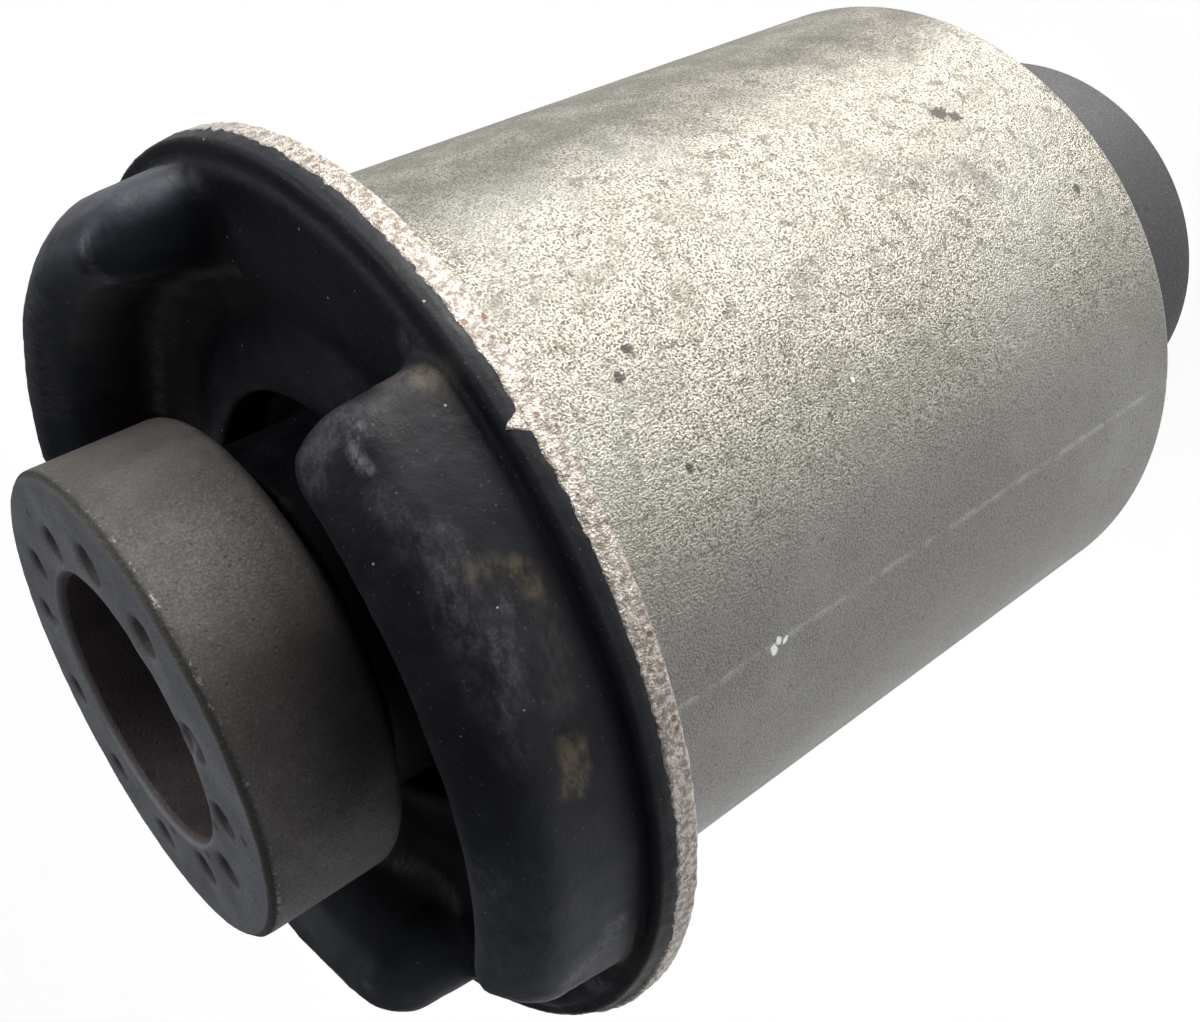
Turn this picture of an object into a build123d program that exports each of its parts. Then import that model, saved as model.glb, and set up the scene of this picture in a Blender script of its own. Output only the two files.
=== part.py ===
from build123d import *
import os

# A bonded rubber bush, standing on the plain end of its inner sleeve with the flanged end up.
# Millimetres. Z is the axis of the bush, and Z = 0 is the face that it stands on.
# Angles are measured from +X towards +Y.

# ---- inner sleeve: a thick turned tube that is wider at both ends ----
sleeve_length = 106.0
bore_radius = 10.5
bore_chamfer = 0.6
neck_radius = 13.75
upper_head_radius = 18.5
upper_head_length = 11.0
upper_head_round = 1.2
lower_head_radius = 19.5
lower_head_length = 28.0
lower_head_round = 2.0
end_chamfer = 0.45

# grip dimples pressed into the upper end face
dimple_count = 12
dimple_circle_radius = 13.8
dimple_radius = 1.35
dimple_depth = 0.7

# ---- outer sleeve: a thin steel tube with its upper end turned out into a flange ----
# The flange is placed from the upper end of the inner sleeve, and the tube's foot from the lower head.
flange_setback = 18.25
flange_radius = 36.5
flange_thickness = 2.05
flange_edge_round = 0.4
bend_inside_radius = 1.2
tube_radius = 30.0
tube_wall = 2.0
tube_overlap = 5.4
tube_foot_round = 0.8

# ---- rubber: the moulding bonded between the sleeves ----
# Heights named "rise" and "drop" are measured from the upper face of the flange.
skin_inset = 0.2
skin_rise = 1.25
skin_round = 0.5
crest_radius = 34.2
crest_rise = 1.7
crest_round = 0.8
floor_radius = 27.3
floor_rise = 0.75
floor_round = 3.0
channel_radius = 23.4
channel_drop = 1.0
channel_round = 2.5
lip_radius = 18.8
lip_inner_radius = 17.3
lip_rise = 0.4
lip_round = 0.5
slot_drop = 3.8
neck_coat = 0.75
neck_coat_gap = 1.5
neck_coat_round = 0.3
foot_inset = 2.4
foot_skin = 1.6
foot_skin_round = 0.6
foot_recess = 6.0
foot_recess_round = 1.5

# lobes that stand up from the rubber round its outer edge and cushion endwise travel
lobe_count = 3
lobe_foot_radius = 34.9
lobe_outer_radius = 34.1
lobe_outer_rise = 8.55
lobe_outer_round = 0.9
lobe_peak_radius = 30.3
lobe_peak_rise = 11.25
lobe_peak_round = 1.4
lobe_shoulder_radius = 28.3
lobe_shoulder_rise = 8.35
lobe_shoulder_round = 1.5
lobe_edge_round = 0.6

# gaps between the lobes, each with parallel walls
gap_angle = 52.5
gap_width = 24.8
gap_foot_round = 2.5

# ---- sizes that follow from the ones above ----
upper_head_underside = sleeve_length - upper_head_length
flange_top = sleeve_length - flange_setback
flange_underside = flange_top - flange_thickness
tube_foot = lower_head_length - tube_overlap
tube_bore_radius = tube_radius - tube_wall
bend_outside_radius = bend_inside_radius + tube_wall
coat_radius = neck_radius + neck_coat
floor_height = flange_top + floor_rise


def ring(corners):
    """Revolve a closed outline about Z. Each corner is (radius, height, rounding)."""
    outline = FilletPolyline(
        [(radius, 0, height) for radius, height, rounding in corners],
        radius=[rounding for radius, height, rounding in corners],
        close=True,
    )
    return revolve(make_face(outline), Axis.Z)


def inner_sleeve():
    """The turned tube, with its ends chamfered inside and out and its grip dimples."""
    body = ring([
        (bore_radius + bore_chamfer, 0, 0),
        (lower_head_radius - end_chamfer, 0, 0),
        (lower_head_radius, end_chamfer, 0),
        (lower_head_radius, lower_head_length, lower_head_round),
        (neck_radius, lower_head_length, 0),
        (neck_radius, upper_head_underside, 0),
        (upper_head_radius, upper_head_underside, upper_head_round),
        (upper_head_radius, sleeve_length - end_chamfer, 0),
        (upper_head_radius - end_chamfer, sleeve_length, 0),
        (bore_radius + bore_chamfer, sleeve_length, 0),
        (bore_radius, sleeve_length - bore_chamfer, 0),
        (bore_radius, bore_chamfer, 0),
    ])
    punch = Cone(0, dimple_radius, dimple_depth, align=(Align.CENTER, Align.CENTER, Align.MAX))
    for index in range(dimple_count):
        turn = Rot(0, 0, index * 360 / dimple_count)
        body -= turn * Pos(dimple_circle_radius, 0, sleeve_length) * punch
    return body


def outer_sleeve():
    """The tube and its flange, one sheet thickness throughout with a rounded bend."""
    return ring([
        (tube_bore_radius, tube_foot, 0),
        (tube_radius, tube_foot, tube_foot_round),
        (tube_radius, flange_underside, bend_inside_radius),
        (flange_radius, flange_underside, flange_edge_round),
        (flange_radius, flange_top, flange_edge_round),
        (tube_bore_radius, flange_top, bend_outside_radius),
    ])


def rubber_core():
    """Everything of the rubber that runs evenly all the way round."""
    foot = tube_foot + foot_inset
    recess_roof = foot + foot_recess
    slot_floor = flange_top - slot_drop
    slot_round = 0.45 * (lip_inner_radius - coat_radius)
    lip_top = flange_top + lip_rise
    skin_radius = flange_radius - flange_edge_round - skin_inset
    coat_top = upper_head_underside - neck_coat_gap
    return ring([
        (neck_radius, lower_head_length, 0),
        (lower_head_radius, lower_head_length, lower_head_round),
        (lower_head_radius, foot, 0),
        (lower_head_radius + foot_skin, foot, foot_skin_round),
        (lower_head_radius + foot_skin, recess_roof, foot_recess_round),
        (tube_bore_radius - foot_skin, recess_roof, foot_recess_round),
        (tube_bore_radius - foot_skin, foot, foot_skin_round),
        (tube_bore_radius, foot, 0),
        (tube_bore_radius, flange_top, bend_outside_radius),
        (skin_radius, flange_top, 0),
        (skin_radius, flange_top + skin_rise, skin_round),
        (lobe_foot_radius, flange_top + skin_rise, 0),
        (crest_radius, flange_top + crest_rise, crest_round),
        (floor_radius, floor_height, floor_round),
        (channel_radius, flange_top - channel_drop, channel_round),
        (lip_radius, lip_top, lip_round),
        (lip_inner_radius, lip_top, lip_round),
        (lip_inner_radius, slot_floor, slot_round),
        (coat_radius, slot_floor, slot_round),
        (coat_radius, coat_top, neck_coat_round),
        (neck_radius, coat_top, 0),
    ])


def lobe_ring():
    """The lobes before the gaps part them: a ring with a slanted top, highest inside."""
    root = flange_top + floor_rise / 2
    return ring([
        (floor_radius, root, 0),
        (lobe_foot_radius, root, 0),
        (lobe_outer_radius, flange_top + lobe_outer_rise, lobe_outer_round),
        (lobe_peak_radius, flange_top + lobe_peak_rise, lobe_peak_round),
        (lobe_shoulder_radius, flange_top + lobe_shoulder_rise, lobe_shoulder_round),
    ])


def gap_cutter():
    """The space of one gap, lying along +X, with a rounding where its walls meet its floor."""
    space = Pos(0, 0, floor_height) * Box(
        1.2 * flange_radius,
        gap_width,
        2 * lobe_peak_rise,
        align=(Align.MIN, Align.CENTER, Align.MIN),
    )
    foot_edges = space.edges().group_by(Axis.Z)[0].filter_by(Axis.X)
    return fillet(foot_edges, gap_foot_round)


def rubber_body():
    """The core with its lobes, which are parted by the gaps and rounded along their edges."""
    whole_ring = lobe_ring()
    gaps = [
        Rot(0, 0, gap_angle + index * 360 / lobe_count) * gap_cutter()
        for index in range(lobe_count)
    ]
    lobes = whole_ring
    for gap in gaps:
        lobes -= gap
    cut_edges = new_edges(whole_ring, *gaps, combined=lobes)
    raised_edges = cut_edges.filter_by(lambda edge: edge.center().Z > floor_height + gap_foot_round)
    return rubber_core() + fillet(raised_edges, lobe_edge_round)


os.makedirs("parts", exist_ok=True)
export_step(inner_sleeve(), "parts/inner_sleeve.step")
export_step(outer_sleeve(), "parts/outer_sleeve.step")
export_step(rubber_body(), "parts/rubber_body.step")
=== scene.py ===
"""The looks of a bonded rubber bush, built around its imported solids.

Sizes are millimetres in the frame of the solids: Z is the axis of the bush, Z = 0 is the face that it
stands on, and angles run from +X towards +Y. Meshes are written in metres.
"""
import math

import bpy
import numpy as np
from mathutils import Matrix, Vector, noise
from mathutils.bvhtree import BVHTree


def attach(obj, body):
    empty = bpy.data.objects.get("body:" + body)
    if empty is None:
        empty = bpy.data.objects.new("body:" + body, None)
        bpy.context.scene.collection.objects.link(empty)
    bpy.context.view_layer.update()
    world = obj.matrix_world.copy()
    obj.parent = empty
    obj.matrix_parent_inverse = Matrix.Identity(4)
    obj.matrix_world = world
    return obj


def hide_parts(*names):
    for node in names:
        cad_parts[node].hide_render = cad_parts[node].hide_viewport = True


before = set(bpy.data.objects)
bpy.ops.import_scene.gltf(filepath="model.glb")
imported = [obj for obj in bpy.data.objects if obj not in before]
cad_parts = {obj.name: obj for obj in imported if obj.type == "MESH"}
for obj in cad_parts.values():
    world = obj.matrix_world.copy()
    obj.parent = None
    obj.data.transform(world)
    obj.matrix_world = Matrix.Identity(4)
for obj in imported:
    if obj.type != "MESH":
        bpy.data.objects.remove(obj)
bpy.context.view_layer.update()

MM = 0.001

# ---- the photograph's view: sizes of its frame in pixels, and the camera's place in millimetres ----
PHOTO_SIZE = (1200, 1022)
FOCAL_PIXELS = 1356.08
CENTRE_PIXEL = (508.98, 515.30)
CAMERA_PLACE = Vector((96.42, 24.27, 125.9))
CAMERA_RIGHT = Vector((0.5273, -0.3484, -0.7750))
CAMERA_UP = Vector((0.0, 0.9121, -0.4100))
SENSOR_WIDTH = 36.0

# ---- sizes shared with the solids: the inner sleeve ----
SLEEVE_LENGTH = 106.0
BORE_RADIUS = 10.5
BORE_CHAMFER = 0.6
NECK_RADIUS = 13.75
UPPER_HEAD_RADIUS = 18.5
UPPER_HEAD_LENGTH = 11.0
UPPER_HEAD_ROUND = 1.2
LOWER_HEAD_RADIUS = 19.5
LOWER_HEAD_LENGTH = 28.0
LOWER_HEAD_ROUND = 2.0
END_CHAMFER = 0.45
HEAD_UNDERSIDE = SLEEVE_LENGTH - UPPER_HEAD_LENGTH

# ---- sizes shared with the solids: the outer sleeve ----
TUBE_RADIUS = 30.0
TUBE_WALL = 2.0
TUBE_BORE_RADIUS = TUBE_RADIUS - TUBE_WALL
TUBE_OVERLAP = 5.4
TUBE_FOOT = LOWER_HEAD_LENGTH - TUBE_OVERLAP
TUBE_FOOT_ROUND = 0.8
FLANGE_RADIUS = 36.5
FLANGE_SETBACK = 18.25
FLANGE_THICKNESS = 2.05
FLANGE_EDGE_ROUND = 0.4
FLANGE_TOP = SLEEVE_LENGTH - FLANGE_SETBACK
FLANGE_UNDERSIDE = FLANGE_TOP - FLANGE_THICKNESS
BEND_INSIDE_RADIUS = 1.2
BEND_OUTSIDE_RADIUS = BEND_INSIDE_RADIUS + TUBE_WALL

# ---- the inner sleeve's worn surface: turns in degrees, sizes in millimetres ----
SLEEVE_TURNS = 480
FINE_BAND = 1.6
WORN_EDGE_ROUND = 0.14
FACE_WEAR = 0.02
EDGE_WEAR = 0.03
DIMPLE_DEPTH = 0.75
# radius, turn and half width of each grip dimple
DIMPLES = [
    (13.5, 30, 1.6), (13.1, 62, 1.7), (13.0, 94, 1.5), (13.9, 127, 1.4),
    (14.5, 152, 1.3), (15.1, 181, 1.35), (15.2, 208, 1.3), (14.4, 237, 1.4),
    (13.2, 271, 1.45), (13.4, 298, 1.5), (12.9, 328, 1.5), (12.1, 356, 1.6),
]
# two dimples push the wall of the bore inwards beside them
BULGED_DIMPLES = (30, 356)
BULGE_RISE = 0.5
BULGE_SPREAD = 5.0
BULGE_DEPTH = 1.3

# ---- the outer sleeve's worn surface ----
TUBE_TURNS = 720
RIM_WEAR = 0.07
RIM_RISE = 0.06
SEAM_TURN = 341.4
SEAM_SPREAD = 0.35
SEAM_DEPTH = 0.03
BURR_TURN = 20.6
BURR_SPREAD = 0.75
BURR_RISE = 1.1

# ---- the rubber's section, with heights measured from the upper face of the flange ----
SKIN_FOOT_RADIUS = 36.44
SKIN_OVERLAP = 1.5
SKIN_DROP = 0.45
SKIN_RADIUS = 36.15
SKIN_RISE = 1.2
SKIN_ROUND = 0.4
GROOVE_RADIUS = 35.0
CREST_RADIUS = 34.2
CREST_RISE = 1.7
CREST_ROUND = 0.8
FLOOR_RADIUS = 27.3
FLOOR_RISE = 0.75
FLOOR_ROUND = 3.0
CHANNEL_RADIUS = 23.4
CHANNEL_DROP = 1.0
CHANNEL_ROUND = 2.5
LIP_RADIUS = 18.8
LIP_INNER_RADIUS = 17.3
LIP_RISE = 0.4
LIP_ROUND = 0.5
SLOT_DROP = 3.8
NECK_COAT = 0.75
COAT_RADIUS = NECK_RADIUS + NECK_COAT
COAT_GAP = 1.5
COAT_ROUND = 0.3
FOOT_INSET = 2.4
FOOT_SKIN = 1.6
FOOT_SKIN_ROUND = 0.6
FOOT_RECESS = 6.0
FOOT_RECESS_ROUND = 1.5

# ---- the lobes and the gaps between them ----
LOBE_COUNT = 3
LOBE_FOOT_RADIUS = 34.9
LOBE_OUTER_RADIUS = 34.1
LOBE_OUTER_RISE = 8.55
LOBE_PEAK_RADIUS = 30.3
LOBE_PEAK_RISE = 11.25
LOBE_PEAK_ROUND = 1.4
LOBE_SHOULDER_RADIUS = 28.3
LOBE_SHOULDER_RISE = 8.35
LOBE_SHOULDER_ROUND = 1.6
LOBE_CORNER_ROUND = 3.0
EDGE_ROUND_INSIDE = 1.8
EDGE_ROUND_OUTSIDE = 1.6
FOOT_ROUND_INSIDE = 2.0
FOOT_ROUND_OUTSIDE = 0.35
FOOT_ROUND_BY_GAP = 1.8
GAP_ANGLE = 52.5
# how far each gap's two walls lie from its middle line, the wall at the smaller angle first
GAP_WALLS = np.array([(11.6, 12.4), (12.4, 12.4), (12.5, 11.8)])

# ---- the rubber's worn surface ----
WAVE_SIZE = 5.0
WAVE_HEIGHT = 0.09
RIPPLE_SIZE = 0.9
RIPPLE_HEIGHT = 0.03
# the ragged skin on the rim of the flange, and the stretch where it is tucked away behind the rim
SKIN_RAG = 0.05
SKIN_DROOP = 0.28
RIM_CLEARANCE = 0.03
TUCK_TURN = 296.0
TUCK_SPREAD = 24.0
TUCK_DEPTH = 0.8
TUCK_INSET = 0.4
TUCK_FLARE = 0.05

# ---- how finely the rubber's face is cut up ----
TURN_STEPS = 468
FACE_STEP = 0.44
FACE_BOTTOM = 83.0
FACE_TOP = 99.8
FACE_INSIDE = 13.2
FACE_OUTSIDE = 36.9


# ======== forms ========
def rounded(corners, turn_step=9):
    """Points of a closed outline. Each corner is (across, up, rounding)."""
    points = []
    for index, (across, up, rounding) in enumerate(corners):
        here = np.array((across, up), float)
        if rounding == 0:
            points.append(here)
            continue
        back = np.array(corners[index - 1][:2]) - here
        onward = np.array(corners[(index + 1) % len(corners)][:2]) - here
        back /= np.linalg.norm(back)
        onward /= np.linalg.norm(onward)
        half = math.acos(np.clip(back @ onward, -1, 1)) / 2
        middle = back + onward
        centre = here + middle / np.linalg.norm(middle) * rounding / math.sin(half)
        first = here + back * rounding / math.tan(half) - centre
        turn = math.pi - 2 * half
        if back[0] * onward[1] - back[1] * onward[0] > 0:
            turn = -turn
        steps = max(2, math.ceil(abs(math.degrees(turn)) / turn_step))
        for step in range(steps + 1):
            angle = turn * step / steps
            cos, sin = math.cos(angle), math.sin(angle)
            arm = np.array((first[0] * cos - first[1] * sin, first[0] * sin + first[1] * cos))
            points.append(centre + arm)
    return np.array(points)


def outline_distance(points, across, up):
    """Distance to a closed outline, below zero inside it."""
    across, up = np.broadcast_arrays(across, up)
    nearest = np.full(across.shape, np.inf)
    inside = np.zeros(across.shape, bool)
    for (x0, y0), (x1, y1) in zip(points, np.roll(points, -1, axis=0)):
        dx, dy = x1 - x0, y1 - y0
        along = np.clip(((across - x0) * dx + (up - y0) * dy) / (dx * dx + dy * dy), 0, 1)
        nearest = np.minimum(nearest, (across - x0 - along * dx) ** 2 + (up - y0 - along * dy) ** 2)
        if dy != 0:
            inside ^= ((y0 > up) != (y1 > up)) & (across < x0 + (up - y0) * dx / dy)
    return np.where(inside, -1, 1) * np.sqrt(nearest)


def joined(a, b, rounding):
    """Two forms as one, with a rounding in the corner between them."""
    corner = np.hypot(np.maximum(rounding - a, 0), np.maximum(rounding - b, 0))
    return np.maximum(rounding, np.minimum(a, b)) - corner


def shared(a, b, rounding):
    """What two forms share, with its edges rounded."""
    corner = np.hypot(np.maximum(rounding + a, 0), np.maximum(rounding + b, 0))
    return np.minimum(-rounding, np.maximum(a, b)) + corner


def eased(value, low, high):
    """0 below low and 1 above high, with a smooth change between them."""
    share = np.clip((value - low) / (high - low), 0, 1)
    return share * share * (3 - 2 * share)


def turn_gap(turn, middle):
    """Signed turn from a middle angle, in degrees."""
    return (turn - middle + 180) % 360 - 180


def places_of(radius, turn, height):
    """Rows of x, y and z from radius, turn in degrees and height."""
    angle = np.radians(turn)
    places = np.stack([radius * np.cos(angle), radius * np.sin(angle), height + 0 * angle], axis=-1)
    return places.reshape(-1, 3)


def radius_and_turn(places):
    """Each place's distance from the axis, and its turn in degrees."""
    return np.hypot(places[:, 0], places[:, 1]), np.degrees(np.arctan2(places[:, 1], places[:, 0]))


def linked(name, data):
    """An object of the scene that holds some data."""
    holder = bpy.data.objects.new(name, data)
    bpy.context.scene.collection.objects.link(holder)
    return holder


def new_mesh(name, places, faces):
    """A smooth mesh object from places in millimetres."""
    mesh = bpy.data.meshes.new(name)
    mesh.from_pydata((places * MM).tolist(), [], faces.tolist())
    mesh.validate()
    mesh.shade_smooth()
    return linked(name, mesh)


def finer(points, step_at):
    """An outline with points added, so that no side is longer than step_at(across, up) at its middle."""
    grown = []
    for start, end in zip(points, np.roll(points, -1, axis=0)):
        middle = (start + end) / 2
        parts = max(1, math.ceil(np.linalg.norm(end - start) / step_at(*middle)))
        grown += [start + (end - start) * part / parts for part in range(parts)]
    return np.array(grown)


def turned(name, points, turns, worn):
    """A closed outline turned about Z. worn(radius, turn, height) gives the worn radius and height."""
    turn = np.arange(turns)[None, :] * 360 / turns
    radius = np.repeat(points[:, :1], turns, axis=1)
    height = np.repeat(points[:, 1:], turns, axis=1)
    radius, height = worn(radius, turn, height)
    places = places_of(radius, turn, height)
    rows = np.arange(len(points))[:, None] * turns
    here = rows + np.arange(turns)[None, :]
    beside = rows + (np.arange(turns)[None, :] + 1) % turns
    above = np.roll(here, -1, axis=0)
    above_beside = np.roll(beside, -1, axis=0)
    faces = np.stack([here, beside, above_beside, above], axis=-1).reshape(-1, 4)
    return new_mesh(name, places, faces)


def rough(places, size, seed, octaves=3):
    """Smooth noise between about -1 and 1 at places in millimetres, with features of a given size."""
    shift = Vector((seed * 17.3, seed * 5.1, seed * 9.7))
    values = [noise.fractal(Vector(place) / size + shift, 1.0, 2.0, octaves) for place in places]
    return np.array(values)


# ======== sleeves ========
def dimple_share(radius, turn):
    """How deep a place on the end face lies in the nearest dimple, 0 to 1."""
    deepest = np.zeros(np.broadcast(radius, turn).shape)
    for middle, angle, size in DIMPLES:
        off = np.radians(turn_gap(turn, angle))
        apart = np.hypot(radius * np.cos(off) - middle, radius * np.sin(off))
        deepest = np.maximum(deepest, eased(1.25 - apart / size, 0, 1))
    return deepest


def worn_inner_sleeve(radius, turn, height):
    """The end face with its waves, dimples and worn outer edge, and the two bulges into the bore."""
    top = SLEEVE_LENGTH
    on_face = eased(height, top - 0.08, top - 0.02)
    waves = rough(places_of(radius, turn, height), 1.6, 3).reshape(radius.shape).clip(-0.9, 0.9)
    height = height - on_face * (DIMPLE_DEPTH * dimple_share(radius, turn) + FACE_WEAR * (1 + waves))
    for middle in BULGED_DIMPLES:
        near = np.exp(-(turn_gap(turn, middle) / BULGE_SPREAD) ** 2)
        near = near * np.exp(-((top - height) / BULGE_DEPTH) ** 2)
        radius = radius - BULGE_RISE * near * (1 - eased(radius, BORE_RADIUS + 0.1, BORE_RADIUS + 1.3))
    edge = eased(height, top - 1.0, top - END_CHAMFER)
    edge = edge * eased(radius, UPPER_HEAD_RADIUS - 0.9, UPPER_HEAD_RADIUS - 0.5)
    radius = radius - edge * EDGE_WEAR * (1 + waves)
    return radius, height


def inner_sleeve():
    """The turned tube, finely cut up round its upper end face."""
    top = SLEEVE_LENGTH
    outline = rounded([
        (BORE_RADIUS + BORE_CHAMFER, 0, 0),
        (LOWER_HEAD_RADIUS - END_CHAMFER, 0, WORN_EDGE_ROUND),
        (LOWER_HEAD_RADIUS, END_CHAMFER, WORN_EDGE_ROUND),
        (LOWER_HEAD_RADIUS, LOWER_HEAD_LENGTH, LOWER_HEAD_ROUND),
        (NECK_RADIUS, LOWER_HEAD_LENGTH, 0),
        (NECK_RADIUS, HEAD_UNDERSIDE, 0),
        (UPPER_HEAD_RADIUS, HEAD_UNDERSIDE, UPPER_HEAD_ROUND),
        (UPPER_HEAD_RADIUS, top - FINE_BAND, 0),
        (UPPER_HEAD_RADIUS, top - END_CHAMFER, WORN_EDGE_ROUND),
        (UPPER_HEAD_RADIUS - END_CHAMFER, top, WORN_EDGE_ROUND),
        (BORE_RADIUS + BORE_CHAMFER, top, WORN_EDGE_ROUND),
        (BORE_RADIUS, top - BORE_CHAMFER, WORN_EDGE_ROUND),
        (BORE_RADIUS, BORE_CHAMFER, 0),
    ], turn_step=22)

    def step_at(across, up):
        if up > top - 0.1:
            return 0.22
        if up > top - FINE_BAND:
            return 0.10
        if up > top - 3:
            return 0.45
        return 2.5

    return turned("pitted_inner_sleeve", finer(outline, step_at), SLEEVE_TURNS, worn_inner_sleeve)


def chamfer_share(radius, turn, height):
    """1 on the chamfer round the upper end face."""
    drop = SLEEVE_LENGTH - height
    return eased(radius, 17.86, 18.02) * (1 - eased(drop, 0.50, 0.78))


def edge_wear_and_glint_share(radius, turn, height):
    """1 along the outer edge of the chamfer: worn bright metal all round, with painted glints heaped on one
    side.
    """
    drop = SLEEVE_LENGTH - height
    along = np.exp(-((drop - 0.62) / 0.13) ** 2) * (radius > 17.9)
    return along * (0.25 + 0.75 * np.exp(-(turn_gap(turn, 34) / 22) ** 2))


def rubbed_share(radius, turn, height):
    """1 on the two rings of the upper end face where it meets its chamfers, and on the bulges."""
    on_face = height > SLEEVE_LENGTH - 0.75
    outer = np.exp(-((radius - 17.95) / 0.14) ** 2)
    inner = np.exp(-((radius - 11.0) / 0.25) ** 2)
    bulge = sum(np.exp(-(turn_gap(turn, middle) / BULGE_SPREAD) ** 2) for middle in BULGED_DIMPLES)
    near_mouth = np.exp(-((radius - 10.6) / 0.35) ** 2) * (height > SLEEVE_LENGTH - 2)
    return np.clip((0.8 * outer + 0.7 * inner) * on_face + bulge * near_mouth, 0, 1)


def dimple_shade_share(radius, turn, height):
    """1 in the middle of each dimple of the upper end face, which is painted darker: painted shade."""
    return dimple_share(radius, turn) * (height > SLEEVE_LENGTH - 1)


def worn_outer_sleeve(radius, turn, height):
    """The rim with its rough edge and its burr, and the shallow seam along the tube."""
    places = places_of(radius, turn, height)
    waves = rough(places, 0.9, 5).reshape(radius.shape)
    rim = eased(radius, FLANGE_RADIUS - 0.8, FLANGE_RADIUS - 0.2)
    radius = radius - rim * RIM_WEAR * (1 + waves)
    height = height + rim * RIM_RISE * rough(places + 40, 1.1, 6).reshape(radius.shape)
    burr = np.exp(-(turn_gap(turn, BURR_TURN) / BURR_SPREAD) ** 2)
    height = height + burr * BURR_RISE * eased(height, FLANGE_TOP - 0.5, FLANGE_TOP - 0.1) * rim
    seam = np.exp(-(turn_gap(turn, SEAM_TURN) / SEAM_SPREAD) ** 2)
    on_tube = eased(radius, TUBE_RADIUS - 0.5, TUBE_RADIUS - 0.1)
    on_tube = on_tube * (1 - eased(radius, TUBE_RADIUS + 0.1, TUBE_RADIUS + 0.4))
    radius = radius - SEAM_DEPTH * seam * on_tube
    return radius, height


def outer_sleeve():
    """The tube and its flange, finely cut up along the rim and coarsely in the hidden bore."""
    outline = rounded([
        (TUBE_BORE_RADIUS, TUBE_FOOT, 0),
        (TUBE_RADIUS, TUBE_FOOT, TUBE_FOOT_ROUND),
        (TUBE_RADIUS, FLANGE_UNDERSIDE, BEND_INSIDE_RADIUS),
        (FLANGE_RADIUS, FLANGE_UNDERSIDE, FLANGE_EDGE_ROUND),
        (FLANGE_RADIUS, FLANGE_TOP, FLANGE_EDGE_ROUND),
        (TUBE_BORE_RADIUS, FLANGE_TOP, BEND_OUTSIDE_RADIUS),
    ])

    def step_at(across, up):
        if across > FLANGE_RADIUS - 1:
            return 0.24
        if across < TUBE_BORE_RADIUS + 0.1:
            return 8.0
        return 1.2

    return turned("grained_outer_sleeve", finer(outline, step_at), TUBE_TURNS, worn_outer_sleeve)


def rim_share(radius, turn, height):
    """1 on the rim of the flange, where the zinc is worn off."""
    return eased(radius, FLANGE_RADIUS - 1.3, FLANGE_RADIUS - 0.3)


def seam_share(radius, turn, height):
    """1 along the seam of the tube."""
    return np.exp(-(turn_gap(turn, SEAM_TURN) / 0.45) ** 2)


def dull_share(radius, turn, height):
    """1 along a strip of the tube on its +Y side, where the zinc is painted darker and duller: painted
    shade.
    """
    return eased(turn, 47, 64) * (1 - eased(turn, 110, 130)) * (radius < FLANGE_RADIUS - 1)


def rich_share(radius, turn, height):
    """1 on the lit side of the tube, which takes the lit copy of the zinc's grain: painted light, brighter
    and more contrasty than the shaded copy elsewhere.
    """
    return eased(turn, -14, 16) * (1 - 0.35 * eased(turn, 55, 75)) * (1 - eased(turn, 110, 165))


# ======== rubber ========
SLOT_ROUND = 0.45 * (LIP_INNER_RADIUS - COAT_RADIUS)
LIP_TOP = FLANGE_TOP + LIP_RISE
SLOT_FLOOR = FLANGE_TOP - SLOT_DROP
COAT_TOP = HEAD_UNDERSIDE - COAT_GAP
RING_OUTLINE = rounded([
    (NECK_RADIUS, LOWER_HEAD_LENGTH, 0),
    (TUBE_BORE_RADIUS, LOWER_HEAD_LENGTH, 0),
    (TUBE_BORE_RADIUS, FLANGE_TOP, BEND_OUTSIDE_RADIUS),
    (SKIN_FOOT_RADIUS - SKIN_OVERLAP, FLANGE_TOP - SKIN_DROP, 0),
    (SKIN_FOOT_RADIUS, FLANGE_TOP - SKIN_DROP, 0),
    (SKIN_RADIUS, FLANGE_TOP + SKIN_RISE, SKIN_ROUND),
    (GROOVE_RADIUS, FLANGE_TOP + SKIN_RISE, 0),
    (CREST_RADIUS, FLANGE_TOP + CREST_RISE, CREST_ROUND),
    (FLOOR_RADIUS, FLANGE_TOP + FLOOR_RISE, FLOOR_ROUND),
    (CHANNEL_RADIUS, FLANGE_TOP - CHANNEL_DROP, CHANNEL_ROUND),
    (LIP_RADIUS, LIP_TOP, LIP_ROUND),
    (LIP_INNER_RADIUS, LIP_TOP, LIP_ROUND),
    (LIP_INNER_RADIUS, SLOT_FLOOR, SLOT_ROUND),
    (COAT_RADIUS, SLOT_FLOOR, SLOT_ROUND),
    (COAT_RADIUS, COAT_TOP, COAT_ROUND),
    (NECK_RADIUS, COAT_TOP, 0),
])
LOBE_ROOT = FLANGE_TOP + FLOOR_RISE / 2
LOBE_TOP_SLOPE = (LOBE_OUTER_RISE - LOBE_PEAK_RISE) / (LOBE_OUTER_RADIUS - LOBE_PEAK_RADIUS)
# the outline of the lobes runs on outwards by this much, and their outer wall cuts it off
BEYOND = 10.0
LOBE_OUTLINE = rounded([
    (FLOOR_RADIUS, LOBE_ROOT, 0),
    (LOBE_OUTER_RADIUS + BEYOND, LOBE_ROOT, 0),
    (LOBE_OUTER_RADIUS + BEYOND, FLANGE_TOP + LOBE_OUTER_RISE + BEYOND * LOBE_TOP_SLOPE, 0),
    (LOBE_PEAK_RADIUS, FLANGE_TOP + LOBE_PEAK_RISE, LOBE_PEAK_ROUND),
    (LOBE_SHOULDER_RADIUS, FLANGE_TOP + LOBE_SHOULDER_RISE, LOBE_SHOULDER_ROUND),
])


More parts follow.
